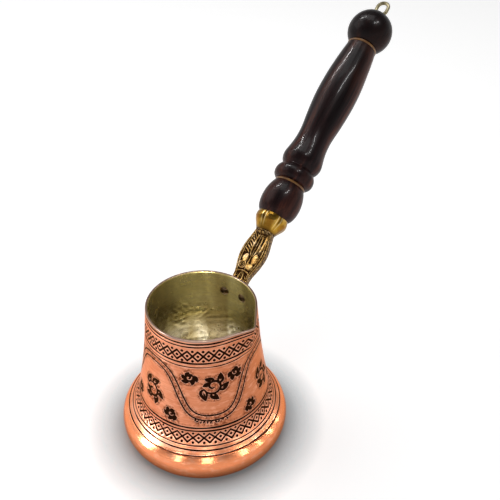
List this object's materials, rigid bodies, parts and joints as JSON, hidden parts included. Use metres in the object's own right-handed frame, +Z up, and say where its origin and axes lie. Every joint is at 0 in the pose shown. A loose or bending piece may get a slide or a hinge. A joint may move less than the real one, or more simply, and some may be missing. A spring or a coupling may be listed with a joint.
{
  "type": "turkish coffee pot",
  "caption": "Long-handled engraved copper coffee pot with a tinned inside, a pouring spout, a cast brass bracket and a turned dark wood handle ending in a ball and hanging eye.",
  "frame": {"origin": "centre of the flat base, on the pot's own upright axis", "axes": "+Z up the pot's axis, +Y under the handle, +X through the pouring spout"},
  "size_m": [0.1066, 0.2702, 0.2223],
  "materials": {
    "copper": "satin spun copper with blackened engraving",
    "tin": "wiped tin, soft sheen, warm tint",
    "tinned_copper": "dark tarnished rivet head",
    "antique_brass": "cast relief, darkened recesses, bright ridges",
    "gold_brass": "polished yellow brass",
    "pale_brass": "bright drawn brass wire",
    "dark_wood": "near-black lacquered hardwood with reddish grain",
    "amber": "translucent amber",
    "steel": "plain threaded rod"
  },
  "bodies": {
    "root": {"pot_body": "copper", "tin_lining": "tin", "handle_bracket": "antique_brass", "rivet_left": "tinned_copper", "rivet_right": "tinned_copper", "ferrule": "gold_brass", "wood_knob": "dark_wood", "spacer_ring_lower": "amber", "wood_grip": "dark_wood", "spacer_ring_upper": "amber", "wood_ball": "dark_wood", "tie_rod": "steel", "hanging_eye": "pale_brass"}
  },
  "joints": []
}
